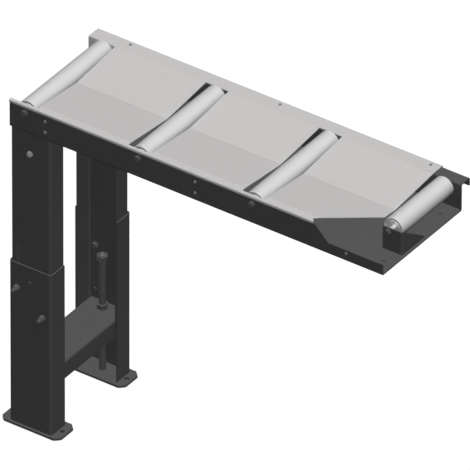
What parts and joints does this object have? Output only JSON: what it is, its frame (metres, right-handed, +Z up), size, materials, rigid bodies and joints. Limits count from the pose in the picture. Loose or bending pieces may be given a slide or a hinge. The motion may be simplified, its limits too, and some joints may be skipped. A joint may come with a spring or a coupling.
{
  "type": "roller conveyor",
  "caption": "Roller conveyor for a sawing machine: folded trough with rollers and a drip tray, on a pair of telescopic legs with screw jacks.",
  "frame": {"origin": "on the floor, in the middle of the four anchor holes under the legs", "axes": "+X along the conveyor from the legs to the machine, +Y to the side with the flange, +Z up"},
  "size_m": [1.026, 0.3574, 0.876],
  "materials": {
    "dark_paint": "dark grey powder coat, satin, lightly textured",
    "light_paint": "light grey paint, satin",
    "zinc": "zinc plated, bright",
    "steel": "ground, bright",
    "black_oxide": "blackened and oiled"
  },
  "bodies": {
    "base": {"base_plate_near": "dark_paint", "base_plate_far": "dark_paint", "lower_leg_near": "dark_paint", "lower_leg_far": "dark_paint", "clamp_bolts": "zinc", "clamp_nuts": "zinc", "clamp_washers": "black_oxide", "slot_washers": "black_oxide"},
    "upper_frame": {"upper_leg_near": "dark_paint", "upper_leg_far": "dark_paint", "crossbeam": "dark_paint", "crossbeam_nuts": "black_oxide", "head_beam": "dark_paint", "head_screws": "zinc", "head_nuts": "zinc", "body_screws": "zinc", "body_nuts": "zinc", "conveyor_body": "dark_paint", "end_bracket": "dark_paint", "drip_tray": "light_paint", "tray_screws": "black_oxide", "tray_nuts": "black_oxide", "side_screws": "black_oxide", "side_inserts": "black_oxide", "axle_screws": "black_oxide", "axle_washers": "black_oxide", "axle_1": "steel", "bearing_inner_1": "steel", "axle_2": "steel", "bearing_inner_2": "steel", "axle_3": "steel", "bearing_inner_3": "steel", "axle_4": "steel", "bearing_inner_4": "steel"},
    "jack_near": {"jack_rod_near": "black_oxide", "jack_head_near": "black_oxide"},
    "jack_far": {"jack_rod_far": "black_oxide", "jack_head_far": "black_oxide"},
    "roller_1": {"roller_tube_1": "steel", "roller_housings_1": "zinc", "bearing_outer_1": "steel", "bearing_balls_1": "steel"},
    "roller_2": {"roller_tube_2": "steel", "roller_housings_2": "zinc", "bearing_outer_2": "steel", "bearing_balls_2": "steel"},
    "roller_3": {"roller_tube_3": "steel", "roller_housings_3": "zinc", "bearing_outer_3": "steel", "bearing_balls_3": "steel"},
    "roller_4": {"roller_tube_4": "steel", "roller_housings_4": "zinc", "bearing_outer_4": "steel", "bearing_balls_4": "steel"}
  },
  "joints": [
    {"name": "frame_height", "type": "slide", "parent": "base", "child": "upper_frame", "axis": [0, 0, 1], "range_m": [-0.107, 0.115]},
    {"name": "jack_near_turn", "type": "hinge", "parent": "base", "child": "jack_near", "pos_m": [0, -0.1245, 0.0053], "axis": [0, 0, 1], "range_deg": [-20705, 19265]},
    {"name": "jack_far_turn", "type": "hinge", "parent": "base", "child": "jack_far", "pos_m": [0, 0.1245, 0.0053], "axis": [0, 0, 1], "range_deg": [-20705, 19265]},
    {"name": "roller_1_spin", "type": "hinge", "parent": "upper_frame", "child": "roller_1", "pos_m": [-0.012, 0, 0.851], "axis": [0, 1, 0], "continuous": true},
    {"name": "roller_2_spin", "type": "hinge", "parent": "upper_frame", "child": "roller_2", "pos_m": [0.293, 0, 0.851], "axis": [0, 1, 0], "continuous": true},
    {"name": "roller_3_spin", "type": "hinge", "parent": "upper_frame", "child": "roller_3", "pos_m": [0.598, 0, 0.851], "axis": [0, 1, 0], "continuous": true},
    {"name": "roller_4_spin", "type": "hinge", "parent": "upper_frame", "child": "roller_4", "pos_m": [0.903, 0.0485, 0.851], "axis": [0, 1, 0], "continuous": true}
  ],
  "couplings": [
    {"joint": "jack_near_turn", "follows": "frame_height", "rad_per_m": -3141.6},
    {"joint": "jack_far_turn", "follows": "frame_height", "rad_per_m": -3141.6}
  ]
}
